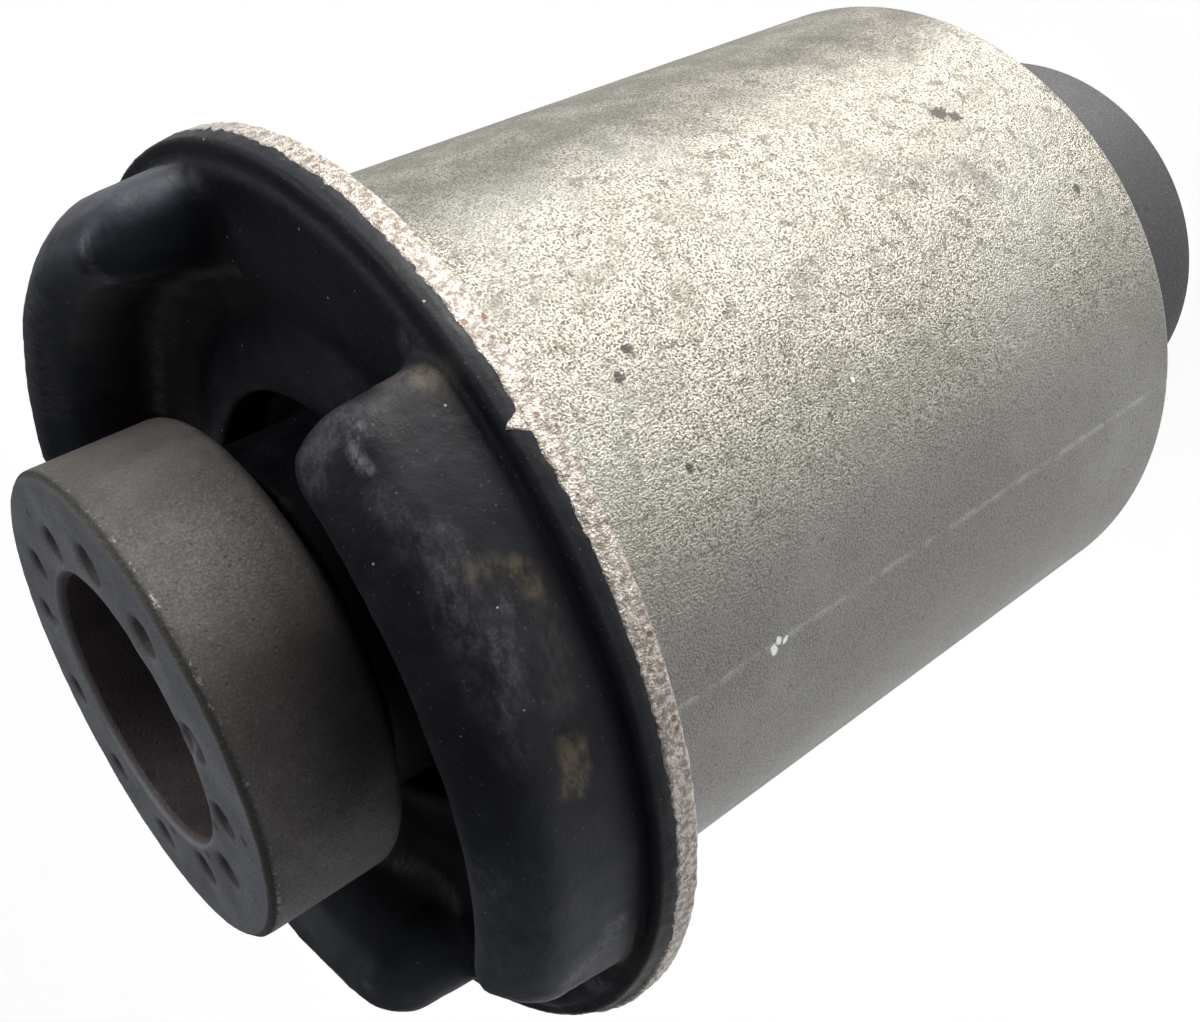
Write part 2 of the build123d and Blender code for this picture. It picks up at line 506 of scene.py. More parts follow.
def gap_distance(turn, radius):
    """Distance to the walls of the nearest gap in plan, below zero between them. The turn is in degrees."""
    spacing = 360 / LOBE_COUNT
    past = turn - GAP_ANGLE + spacing / 2
    off = past % spacing - spacing / 2
    gap = (past // spacing).astype(int) % LOBE_COUNT
    wall = GAP_WALLS[gap, (off > 0).astype(int)]
    return radius * np.abs(np.sin(np.radians(off))) - wall


def lobe_side(radius, height):
    """Distance to the slightly leaning outer wall of the lobes."""
    lean = (LOBE_FOOT_RADIUS - LOBE_OUTER_RADIUS) / (LOBE_OUTER_RISE - FLOOR_RISE / 2)
    return (radius - LOBE_FOOT_RADIUS + lean * (height - LOBE_ROOT)) / math.hypot(1, lean)


def rubber_field(ring, lobe, side, gap, radius):
    """The rubber's form from its parts: below zero inside it."""
    outwards = eased(radius, LOBE_PEAK_RADIUS, LOBE_OUTER_RADIUS)
    edge_round = EDGE_ROUND_INSIDE + (EDGE_ROUND_OUTSIDE - EDGE_ROUND_INSIDE) * outwards
    lobes = shared(lobe, shared(side, -gap, LOBE_CORNER_ROUND), edge_round)
    foot_round = FOOT_ROUND_INSIDE + (FOOT_ROUND_OUTSIDE - FOOT_ROUND_INSIDE) * outwards
    by_gap = (1 - eased(np.abs(gap), 1.5, 4.0)) * (1 - eased(radius, 33.0, 34.6))
    foot_round = foot_round + (FOOT_ROUND_BY_GAP - foot_round) * by_gap
    return joined(ring, lobes, foot_round)


def rubber_distance(places):
    """The rubber's form at places of its own, given as rows of x, y and z."""
    radius, turn = radius_and_turn(places)
    ring = outline_distance(RING_OUTLINE, radius, places[:, 2])
    lobe = outline_distance(LOBE_OUTLINE, radius, places[:, 2])
    side = lobe_side(radius, places[:, 2])
    return rubber_field(ring, lobe, side, gap_distance(turn, radius), radius)


def moved(values, axis, step, length):
    """Values from a step onward along an axis: the first axis closes on itself, the others are cut."""
    if axis == 0:
        return np.roll(values, -step, 0)
    return np.take(values, range(step, step + length), axis)


def crossings_along(field, axis):
    """Which edges of the grid the surface cuts along an axis, how far along, and which start inside."""
    first = moved(field, axis, 0, field.shape[axis] - 1)
    later = moved(field, axis, 1, field.shape[axis] - 1)
    starts_inside = first < 0
    cut = starts_inside != (later < 0)
    share = np.where(cut, first / np.where(cut, first - later, 1), 0)
    return cut, share, starts_inside


def cell_places(field, crossings):
    """A place for each cell that the surface runs through, amid its cut edges, and the cells' numbers."""
    turns, across, up = field.shape
    total = np.zeros((turns, across - 1, up - 1, 3))
    count = np.zeros((turns, across - 1, up - 1))
    for axis, (cut, share, starts_inside) in enumerate(crossings):
        others = [other for other in range(3) if other != axis]
        for steps in ((0, 0), (0, 1), (1, 0), (1, 1)):
            offset = dict(zip(others, steps))
            here, along = cut, share
            for other, step in offset.items():
                here = moved(here, other, step, field.shape[other] - 1)
                along = moved(along, other, step, field.shape[other] - 1)
            place = [along * here if a == axis else offset[a] * here for a in range(3)]
            total += np.stack(place, axis=-1)
            count += here
    used = count > 0
    number = np.full(count.shape, -1)
    number[used] = np.arange(used.sum())
    return np.argwhere(used) + total[used] / count[used][:, None], number


def cell_quads(field, crossings, number):
    """A face round each cut edge that joins the four cells beside it, with its front outwards."""
    quads = []
    for axis, (cut, share, starts_inside) in enumerate(crossings):
        others = [other for other in range(3) if other != axis]
        spot = np.argwhere(cut)
        for other in others:
            if other > 0:
                spot = spot[(spot[:, other] > 0) & (spot[:, other] < field.shape[other] - 1)]
        corners = []
        for near, far in ((1, 1), (0, 1), (0, 0), (1, 0)):
            cell = spot.copy()
            cell[:, others[0]] -= near
            cell[:, others[1]] -= far
            corners.append(number[cell[:, 0] % field.shape[0], cell[:, 1], cell[:, 2]])
        faces = np.stack(corners, axis=1)
        flip = starts_inside[spot[:, 0], spot[:, 1], spot[:, 2]] != (axis == 1)
        faces[flip] = faces[flip][:, ::-1]
        quads.append(faces)
    return np.concatenate(quads)


def face_net(field):
    """The surface where a field is zero, as places in steps of the grid, quads and cell numbers."""
    crossings = [crossings_along(field, axis) for axis in range(3)]
    places, number = cell_places(field, crossings)
    return places, cell_quads(field, crossings, number), number


def settle(places, distance, rounds=3, step=0.02, reach=0.25):
    """Moves places onto the surface where distance is zero."""
    for _ in range(rounds):
        here = distance(places)
        slope = np.empty_like(places)
        for axis in range(3):
            aside = places.copy()
            aside[:, axis] += step
            slope[:, axis] = (distance(aside) - here) / step
        steepness = np.maximum((slope ** 2).sum(1), 0.25)
        move = -slope * (here / steepness)[:, None]
        length = np.linalg.norm(move, axis=1)[:, None]
        places = places + move * np.minimum(1, reach / np.maximum(length, 1e-9))
    return places


def rubber_foot():
    """The outline of the rubber below its face, from the tube's bore round the recess to the neck."""
    foot = TUBE_FOOT + FOOT_INSET
    roof = foot + FOOT_RECESS
    corners = [
        (TUBE_BORE_RADIUS, FACE_BOTTOM, 0),
        (TUBE_BORE_RADIUS, foot, 0),
        (TUBE_BORE_RADIUS - FOOT_SKIN, foot, FOOT_SKIN_ROUND),
        (TUBE_BORE_RADIUS - FOOT_SKIN, roof, FOOT_RECESS_ROUND),
        (LOWER_HEAD_RADIUS + FOOT_SKIN, roof, FOOT_RECESS_ROUND),
        (LOWER_HEAD_RADIUS + FOOT_SKIN, foot, FOOT_SKIN_ROUND),
        (LOWER_HEAD_RADIUS, foot, 0),
        (LOWER_HEAD_RADIUS, LOWER_HEAD_LENGTH, LOWER_HEAD_ROUND),
        (NECK_RADIUS, LOWER_HEAD_LENGTH, 0),
        (NECK_RADIUS, FACE_BOTTOM, 0),
    ]
    return rounded(corners, turn_step=22)[1:-1]


def weathered(places):
    """The face with the gentle waves of a moulding, and a ragged skin along the rim of the flange."""
    here = rubber_distance(places)
    slope = np.stack([rubber_distance(places + step) - here for step in 0.05 * np.eye(3)], axis=1)
    slope /= np.maximum(np.linalg.norm(slope, axis=1), 1e-6)[:, None]
    radius, turn = radius_and_turn(places)
    free = eased(radius, 17.0, 19.0) * (1 - eased(radius, 35.2, 35.8))
    waves = WAVE_HEIGHT * rough(places, WAVE_SIZE, 1) + RIPPLE_HEIGHT * rough(places, RIPPLE_SIZE, 2)
    places = places + slope * (free * waves)[:, None]

    edge = eased(radius, 35.4, 35.9)
    low = 1 - eased(places[:, 2], FLANGE_TOP - 0.1, FLANGE_TOP + 0.5)
    tuck = np.exp(-(turn_gap(turn, TUCK_TURN) / TUCK_SPREAD) ** 4)
    ragged = SKIN_RAG * (1 + 2 * low) * rough(places, 0.55, 4, 2)
    grown = edge * (ragged + tuck * (TUCK_FLARE * low - TUCK_INSET * (1 - low)))
    grown = np.minimum(grown, FLANGE_RADIUS - RIM_CLEARANCE - radius)
    places[:, :2] *= (1 + grown / np.maximum(radius, 1))[:, None]
    places[:, 2] += edge * low * (SKIN_DROOP * rough(places, 0.8, 7, 2) - TUCK_DEPTH * tuck)
    return places


def with_foot(places, quads, number):
    """The face's places and quads with the foot's rings, which hang from its two open edges."""
    edge = [number[index, :, 0][number[index, :, 0] >= 0] for index in range(TURN_STEPS)]
    turn = (np.arange(TURN_STEPS) + 0.5) * 360 / TURN_STEPS
    rings = [np.array([row[-1] for row in edge])]
    grown = [places]
    total = len(places)
    for across, up in rubber_foot():
        grown.append(places_of(across, turn, up))
        rings.append(np.arange(TURN_STEPS) + total)
        total += TURN_STEPS
    rings.append(np.array([row[0] for row in edge]))
    bands = [quads]
    for above, below in zip(rings, rings[1:]):
        bands.append(np.stack([above, below, np.roll(below, -1), np.roll(above, -1)], axis=1))
    return np.concatenate(grown), np.concatenate(bands)


def rubber_body():
    """The moulding as one closed mesh: a fine face with its lobes, and a plainer foot."""
    turn = np.arange(TURN_STEPS) * 360 / TURN_STEPS
    radius = np.arange(FACE_INSIDE, FACE_OUTSIDE, FACE_STEP)
    height = np.arange(FACE_BOTTOM, FACE_TOP, FACE_STEP)
    ring = outline_distance(RING_OUTLINE, radius[:, None], height[None, :])
    lobe = outline_distance(LOBE_OUTLINE, radius[:, None], height[None, :])
    side = lobe_side(radius[:, None], height[None, :])
    gap = gap_distance(turn[:, None], radius[None, :])
    field = rubber_field(ring[None], lobe[None], side[None], gap[:, :, None], radius[None, :, None])
    cells, quads, number = face_net(field)
    turn = cells[:, 0] * 360 / TURN_STEPS
    across = FACE_INSIDE + cells[:, 1] * FACE_STEP
    up = FACE_BOTTOM + cells[:, 2] * FACE_STEP
    places = weathered(settle(places_of(across, turn, up), rubber_distance))
    return new_mesh("bonded_rubber", *with_foot(places, quads, number))


def film_share(radius, turn, height):
    """1 on the raised faces of the lobes away from the +X side, where the rubber is a lighter, bluer grey.
    """
    aside = (1 - eased(turn, -38, -5)) + eased(turn, 55, 68)
    return aside * eased(radius, 27.6, 28.4) * eased(height, FLANGE_TOP + 1.5, FLANGE_TOP + 3.5)


# ======== marks ========
# Lines of each kind: half width in millimetres, strength, and pixels of the photograph on the way.
RUBBER_MARKS = {
    # Scuffs, and painted highlights along rounded edges of the lobes and the neck; the lines marked below
    # are painted highlights.
    "scuff_and_highlight": [
        # painted highlight along the rounded ridge at the end of the lobe after the first gap, on these two
        # lines
        (0.35, 1.0, [(85, 237), (83, 245), (85, 254), (90, 264), (98, 273), (106, 279), (116, 284)]),
        (0.5, 0.45, [(116, 284), (140, 287), (165, 286)]),
        (1.0, 0.18, [(112, 200), (150, 192), (198, 186)]),
        # part wear, part painted highlight along the outline of the lobe after the first gap
        (1.5, 0.55, [(36, 300), (36, 335), (42, 375), (52, 410)]),
        # painted light on the lit rounding at the top of the lobe after the first gap
        (0.9, 0.30, [(60, 228), (78, 212), (104, 200)]),
        # painted highlight along the top corner of the lobe before the first gap, partly worn
        (0.40, 0.9, [(362, 429), (351, 446), (358, 459), (367, 470)]),
        # painted light on the lit rounding at the end of the lobe before the first gap
        (1.0, 0.35, [(345, 420), (325, 438), (314, 458), (312, 480)]),
        # painted highlight along the peak of the lobe before the first gap
        (0.9, 0.22, [(380, 500), (400, 520), (410, 545)]),
        (1.5, 0.20, [(440, 545), (455, 600), (470, 640)]),
        (0.4, 0.42, [(444, 566), (456, 590)]),
        (0.9, 0.26, [(500, 600), (510, 650), (514, 700)]),
        (0.3, 0.55, [(492, 632), (500, 664)]),
        (0.3, 0.45, [(502, 690), (508, 728)]),
        (1.0, 0.14, [(470, 680), (500, 720), (515, 760)]),
        (0.30, 0.5, [(497, 895), (508, 882)]),
        # painted highlight on the lit rounded corner at the other end of that lobe, on these two lines
        (0.9, 0.8, [(572, 978), (590, 962), (606, 942), (616, 922)]),
        (0.7, 0.5, [(596, 966), (612, 945), (619, 925)]),
        # painted highlight on the floor of a gap
        (0.8, 0.5, [(588, 985), (602, 984)]),
        (1.8, 0.2, [(480, 880), (492, 940), (500, 985)]),
        (0.6, 0.4, [(404, 336), (402, 345)]),
        # painted highlight along the step at the neck
        (0.6, 0.35, [(284, 505), (300, 540), (322, 580)]),
    ],
    "dust": [
        (0.55, 1.0, [(160, 410), (157, 350), (160, 312), (172, 288), (200, 276), (238, 271)]),
        (1.3, 0.55, [(160, 340), (163, 305), (175, 288)]),
        (0.9, 0.60, [(405, 862), (432, 880), (458, 902)]),
        (0.8, 0.4, [(388, 382), (404, 372), (425, 378)]),
        (1.2, 0.22, [(545, 620), (560, 660), (560, 700)]),
    ],
    "brown": [
        (1.2, 0.5, [(424, 378), (438, 376)]),
        (0.45, 0.9, [(566, 742), (569, 768), (566, 794)]),
        (0.45, 1.0, [(580, 740), (583, 765), (578, 790)]),
        (0.65, 0.7, [(516, 566), (528, 576), (534, 590)]),
        (0.8, 0.4, [(472, 572), (492, 566)]),
        (0.5, 1.0, [(396, 864), (420, 870), (440, 880), (453, 896), (458, 908)]),
    ],
}
TUBE_MARKS = {
    "stain": [
        (0.8, 0.45, [(906, 58), (907, 40)]),
        (1.6, 0.3, [(640, 130), (700, 128), (725, 124)]),
        (2.5, 0.3, [(800, 46), (850, 44), (890, 44)]),
        (1.2, 0.4, [(968, 168), (985, 182)]),
        (1.0, 0.3, [(800, 270), (798, 280)]),
        (1.6, 0.25, [(880, 170), (915, 172)]),
    ],
}
# small marks on the tube: the photograph's pixel in the middle, and the reach in millimetres
DARK_SPOTS = [
    ((626, 349), 0.42), ((619, 377), 0.48), ((689, 468), 0.34),
    ((939, 113), 0.85), ((955, 117), 0.70), ((1077, 189), 0.40),
]
PALE_SPOTS = [((774, 649), 0.42), ((779, 641), 0.34), ((785, 640), 0.28), ((853, 379), 0.18)]


def camera_axes():
    """The camera's right, up and back, square to one another."""
    right = CAMERA_RIGHT.normalized()
    up = (CAMERA_UP - right * CAMERA_UP.dot(right)).normalized()
    return right, up, right.cross(up)


def vertex_places(mesh):
    """Rows of x, y and z of a mesh's vertices, in millimetres."""
    places = np.empty(len(mesh.vertices) * 3)
    mesh.vertices.foreach_get("co", places)
    return places.reshape(-1, 3) / MM


def sight(mesh):
    """A function from a pixel of the photograph to where the camera's ray through it meets a mesh."""
    faces = [tuple(face.vertices) for face in mesh.polygons]
    tree = BVHTree.FromPolygons(vertex_places(mesh).tolist(), faces)
    right, up, back = camera_axes()

    def place_at(column, row):
        across = (column - CENTRE_PIXEL[0]) / FOCAL_PIXELS
        down = (row - CENTRE_PIXEL[1]) / FOCAL_PIXELS
        return np.array(tree.ray_cast(CAMERA_PLACE, right * across - up * down - back)[0])

    return place_at


def spots_on(piece, spots):
    """The place and the reach of each small mark on a piece."""
    place_at = sight(piece.data)
    return [(place_at(*pixel), reach) for pixel, reach in spots]


def store(mesh, name, values):
    """Keeps a number at each vertex of a mesh for its material to read."""
    mesh.attributes.new(name, "FLOAT", "POINT").data.foreach_set("value", values)


def add_marks(piece, marks):
    """Stores how strongly each kind of mark shows at each vertex of a piece, 0 to 1."""
    places = vertex_places(piece.data)
    place_at = sight(piece.data)
    for kind, lines in marks.items():
        shown = np.zeros(len(places))
        for half_width, strength, pixels in lines:
            spots = [place_at(*pixel) for pixel in pixels]
            for start, end in zip(spots, spots[1:]):
                side = end - start
                along = np.clip((places - start) @ side / max(side @ side, 1e-9), 0, 1)
                apart = np.linalg.norm(places - start - along[:, None] * side, axis=1)
                fade = 1 - eased(apart, 0.3 * half_width, 1.5 * half_width)
                shown = np.maximum(shown, strength * fade)
        store(piece.data, kind, shown)


def add_shares(piece, **shares):
    """Stores named shares, 0 to 1, each a function of a vertex's radius, turn and height."""
    places = vertex_places(piece.data)
    radius, turn = radius_and_turn(places)
    for name, share_at in shares.items():
        store(piece.data, name, share_at(radius, turn, places[:, 2]))


# ======== materials ========
class Surface:
    """A node material that is built up one node at a time. Its places are in millimetres."""

    def __init__(self, name, colours):
        self.colours = colours
        self.material = bpy.data.materials.new(name)
        self.material.use_nodes = True
        self.tree = self.material.node_tree
        self.shader = self.tree.nodes["Principled BSDF"]
        coordinates = self.tree.nodes.new("ShaderNodeTexCoord")
        scale = self.node("ShaderNodeVectorMath", operation="SCALE")
        self.feed(scale.inputs[0], coordinates.outputs["Object"])
        scale.inputs["Scale"].default_value = 1 / MM
        self.place = scale.outputs[0]

    def node(self, kind, **settings):
        """A new node with some of its settings made."""
        node = self.tree.nodes.new(kind)
        for key, value in settings.items():
            setattr(node, key, value)
        return node

    def feed(self, socket, value):
        """Links a socket to another node's output, or sets its own value."""
        if isinstance(value, bpy.types.NodeSocket):
            self.tree.links.new(value, socket)
        else:
            socket.default_value = value

    def calc(self, operation, *values):
        node = self.node("ShaderNodeMath", operation=operation)
        for socket, value in zip(node.inputs, values):
            self.feed(socket, value)
        return node.outputs[0]

    def times(self, first, second):
        return self.calc("MULTIPLY", first, second)

    def stretched(self, x, y, z):
        """The places, stretched along each axis."""
        node = self.node("ShaderNodeVectorMath", operation="MULTIPLY")
        self.feed(node.inputs[0], self.place)
        node.inputs[1].default_value = (x, y, z)
        return node.outputs[0]

    def noise(self, size, detail=3, roughness=0.55, place=None):
        """Noise about 0.5 with features of a size in millimetres."""
        node = self.node("ShaderNodeTexNoise")
        self.feed(node.inputs["Vector"], place or self.place)
        node.inputs["Scale"].default_value = 1 / size
        node.inputs["Detail"].default_value = detail
        node.inputs["Roughness"].default_value = roughness
        return node.outputs[0]

    def span(self, value, low, high, first=0.0, last=1.0):
        """A smooth change from first to last as the value goes from low to high."""
        node = self.node("ShaderNodeMapRange", interpolation_type="SMOOTHSTEP")
        for name, number in (("Value", value), ("From Min", low), ("From Max", high)):
            self.feed(node.inputs[name], number)
        self.feed(node.inputs["To Min"], first)
        self.feed(node.inputs["To Max"], last)
        return node.outputs[0]

    def spots(self, size, reach, share):
        """Round spots on a share of scattered points that lie a size apart. The reach is in sizes."""
        node = self.node("ShaderNodeTexVoronoi")
        self.feed(node.inputs["Vector"], self.place)
        node.inputs["Scale"].default_value = 1 / size
        picked = self.span(node.outputs["Color"], 1 - share, 1 - share + 0.02)
        near = self.span(node.outputs["Distance"], 0.5 * reach, reach, 1.0, 0.0)
        return self.times(picked, near)

    def dabs(self, spots):
        """1 near any of some places, out to the reach of each, with a ragged edge."""
        ragged = self.span(self.noise(0.35, 3), 0.3, 0.7, 0.6, 1.4)
        shown = 0.0
        for place, reach in spots:
            node = self.node("ShaderNodeVectorMath", operation="DISTANCE")
            self.feed(node.inputs[0], self.place)
            node.inputs[1].default_value = place
            near = self.span(self.times(node.outputs["Value"], ragged), 0.6 * reach, reach, 1.0, 0.0)
            shown = self.calc("MAXIMUM", shown, near)
        return shown

    def mix(self, share, first, second):
        """A colour between a first and a second, each a socket or the name of a colour."""
        node = self.node("ShaderNodeMix", data_type="RGBA")
        self.feed(node.inputs[0], share)
        for socket, colour in ((node.inputs[6], first), (node.inputs[7], second)):
            self.feed(socket, (*self.colours[colour], 1) if isinstance(colour, str) else colour)
        return node.outputs[2]

    def stored(self, name, factor=1.0):
        """A share that is stored on the mesh, times a factor."""
        return self.times(self.node("ShaderNodeAttribute", attribute_name=name).outputs["Fac"], factor)

    def radius(self):
        """Distance from the axis of the bush."""
        node = self.node("ShaderNodeVectorMath", operation="LENGTH")
        self.feed(node.inputs[0], self.stretched(1, 1, 0))
        return node.outputs["Value"]

    def height(self):
        node = self.node("ShaderNodeSeparateXYZ")
        self.feed(node.inputs[0], self.place)
        return node.outputs[2]

    def bump(self, height, depth, below=None):
        """Raises the surface by up to a depth in millimetres."""
        node = self.node("ShaderNodeBump")
        self.feed(node.inputs["Height"], height)
        node.inputs["Distance"].default_value = depth * MM
        if below is not None:
            self.feed(node.inputs["Normal"], below)
        return node.outputs[0]

    def finish(self, colour, metallic, roughness, normal):
        self.feed(self.shader.inputs["Base Color"], colour)
        self.feed(self.shader.inputs["Metallic"], metallic)
        self.feed(self.shader.inputs["Roughness"], roughness)
        self.feed(self.shader.inputs["Normal"], normal)
        return self.material


RUBBER_COLOURS = {
    "clean": (0.0034, 0.0040, 0.0070),
    "hazy": (0.0112, 0.0122, 0.0180),
    "film": (0.032, 0.036, 0.048),
    "grain": (0.030, 0.033, 0.044),
    "dust": (0.110, 0.092, 0.090),
    "brown": (0.100, 0.078, 0.052),
    "scuff_and_highlight": (0.165, 0.165, 0.185),
    "fleck": (0.35, 0.36, 0.38),
    "speck": (0.060, 0.060, 0.070),
}


def rubber_material():
    """Black rubber with a blue cast, dusty in places, scuffed where it was handled, with painted highlights
    along some of its rounded edges.
    """
    surface = Surface("black_rubber", RUBBER_COLOURS)
    mottle = surface.noise(3.5, 5, 0.6)
    clouds = surface.noise(11, 3)
    grain = surface.noise(0.28, 3, 0.7)
    streaks = surface.noise(1.0, 5, 0.7, surface.stretched(2.4, 0.7, 1.6))

    haze = surface.times(surface.span(mottle, 0.42, 0.72), surface.span(clouds, 0.35, 0.7, 0.3, 1.0))
    colour = surface.mix(haze, "clean", "hazy")
    film = surface.stored("film", surface.span(mottle, 0.30, 0.60, 0.5, 1.0))
    colour = surface.mix(film, colour, "film")
    colour = surface.mix(surface.span(grain, 0.56, 0.80, 0.0, 0.40), colour, "grain")

    broken = surface.calc("ADD", surface.times(surface.span(streaks, 0.38, 0.62), 0.8), 0.2)
    # Scuffs and painted highlights, lighter and bluish; they also raise the roughness.
    scuff_and_highlight = surface.times(surface.stored("scuff_and_highlight", broken), surface.span(grain, 0.30, 0.66, 0.35, 1.0))
    dust = surface.stored("dust", surface.span(streaks, 0.34, 0.66, 0.25, 1.0))
    brown = surface.stored("brown", surface.span(streaks, 0.36, 0.60, 0.2, 1.0))
    colour = surface.mix(dust, colour, "dust")
    colour = surface.mix(brown, colour, "brown")
    colour = surface.mix(scuff_and_highlight, colour, "scuff_and_highlight")
    colour = surface.mix(surface.spots(1.5, 0.075, 0.30), colour, "fleck")
    specks = surface.times(surface.spots(0.42, 0.24, 0.45), surface.span(streaks, 0.42, 0.62, 0.05, 0.9))
    colour = surface.mix(specks, colour, "speck")

    roughness = surface.span(mottle, 0.35, 0.70, 0.50, 0.66)
    roughness = surface.calc("ADD", roughness, surface.times(scuff_and_highlight, 0.2))
    normal = surface.bump(mottle, 0.10)
    normal = surface.bump(surface.noise(0.75, 3), 0.035, normal)
    normal = surface.bump(grain, 0.016, normal)
    surface.shader.inputs["Specular IOR Level"].default_value = 0.25
    return surface.finish(colour, 0.0, roughness, normal)


ZINC_COLOURS = {
    # the lit copy of the grain: painted light
    "lit_hollow": (0.095, 0.090, 0.074),
    "lit_tip": (0.51, 0.49, 0.425),
    # the shaded copy of the grain: painted shade
    "shaded_side_hollow": (0.168, 0.161, 0.150),
    "shaded_side_tip": (0.255, 0.248, 0.233),
    "blot": (0.110, 0.104, 0.080),
    "dark_cloud": (0.225, 0.217, 0.185),
    "pale_cloud": (0.42, 0.42, 0.41),
    # the darker strip on the +Y side: painted shade
    "dull_hollow": (0.062, 0.058, 0.050),
    "dull_tip": (0.150, 0.143, 0.122),
    "rim_dark": (0.24, 0.205, 0.175),
    "rim_light": (0.60, 0.55, 0.51),
    "rust": (0.15, 0.085, 0.052),
    "pit": (0.10, 0.092, 0.082),
    "stain": (0.045, 0.038, 0.034),
    "pale_spot": (0.88, 0.88, 0.86),
    "seam": (0.62, 0.61, 0.60),
}


def coated_steel(dark_spots, pale_spots):
    """Zinc over a grainy steel sheet: bright tips, dark hollows, brown specks along the rim, with lit and
    shaded copies of the grain by side and a darker strip on the +Y side, painted light and shade.
    """
    surface = Surface("coated_steel", ZINC_COLOURS)
    grit = surface.noise(0.17, 3, 0.55)
    fine = surface.noise(0.11, 2)
    clouds = surface.noise(4.0, 4, 0.6)
    broad = surface.noise(16, 3)

    # The first mix is the lit copy of the grain and the second the shaded copy; the side picks between
    # them: painted light and painted shade. The dark blots show on the lit side only.
    rich = surface.mix(surface.span(grit, 0.34, 0.60), "lit_hollow", "lit_tip")
    plain = surface.mix(surface.span(grit, 0.30, 0.66), "shaded_side_hollow", "shaded_side_tip")
    colour = surface.mix(surface.stored("rich"), plain, rich)
    blots = surface.stored("rich", surface.span(surface.noise(1.5, 5, 0.75), 0.52, 0.64))
    colour = surface.mix(surface.times(blots, 0.7), colour, "blot")
    colour = surface.mix(surface.span(clouds, 0.46, 0.66, 0.0, 0.45), colour, "dark_cloud")
    colour = surface.mix(surface.span(broad, 0.42, 0.70, 0.0, 0.30), colour, "pale_cloud")
    # A strip on the +Y side is painted darker and duller: painted shade.
    dull = surface.stored("dull", surface.span(clouds, 0.30, 0.60, 0.60, 1.0))
    dull_colour = surface.mix(surface.span(grit, 0.32, 0.64), "dull_hollow", "dull_tip")
    colour = surface.mix(surface.times(dull, 0.9), colour, dull_colour)

    rim = surface.stored("rim")
    flecks = surface.span(surface.noise(0.45, 4, 0.7), 0.40, 0.62)
    rim_colour = surface.mix(flecks, "rim_dark", "rim_light")
    colour = surface.mix(surface.times(rim, 0.85), colour, rim_colour)
    rust = surface.times(rim, surface.spots(0.75, 0.38, 0.34))
    colour = surface.mix(surface.times(rust, 0.8), colour, "rust")

    pits = surface.spots(0.62, 0.30, 0.22)
    colour = surface.mix(surface.times(pits, 0.6), colour, "pit")
    stain = surface.stored("stain", surface.span(surface.noise(0.5, 3), 0.32, 0.50))
    stain = surface.calc("MAXIMUM", stain, surface.times(surface.dabs(dark_spots), 0.95))
    colour = surface.mix(stain, colour, "stain")
    colour = surface.mix(surface.dabs(pale_spots), colour, "pale_spot")
    broken = surface.span(surface.noise(1.4, 4), 0.40, 0.62, 0.05, 0.36)
    colour = surface.mix(surface.stored("seam", broken), colour, "seam")

    lifeless = surface.calc("MAXIMUM", stain, surface.times(dull, 0.8))
    metallic = surface.times(surface.calc("SUBTRACT", 1.0, lifeless), 0.85)
    roughness = surface.span(grit, 0.35, 0.65, 0.50, 0.38)
    roughness = surface.calc("ADD", roughness, surface.times(dull, 0.3))
    normal = surface.bump(clouds, 0.10)
    normal = surface.bump(grit, 0.16, normal)
    normal = surface.bump(fine, 0.02, normal)
    return surface.finish(colour, metallic, roughness, normal)


STEEL_COLOURS = {
    "side_dark": (0.053, 0.048, 0.045),
    "side_light": (0.086, 0.077, 0.074),
    "face_dark": (0.145, 0.150, 0.164),
    "face_light": (0.212, 0.218, 0.235),
    "bore_dark": (0.055, 0.040, 0.042),
    "bore_light": (0.095, 0.070, 0.070),
    "foot": (0.045, 0.048, 0.055),
    "chamfer": (0.026, 0.025, 0.019),
    # painted shade in the dimples
    "dimple": (0.030, 0.028, 0.031),
    "light_grain": (0.15, 0.14, 0.13),
    "dark_grain": (0.040, 0.035, 0.034),
    "pit": (0.035, 0.031, 0.028),
    "scar": (0.030, 0.026, 0.024),
    "worn_edge_and_glint": (0.62, 0.61, 0.58),
    "rubbed": (0.34, 0.34, 0.36),
}


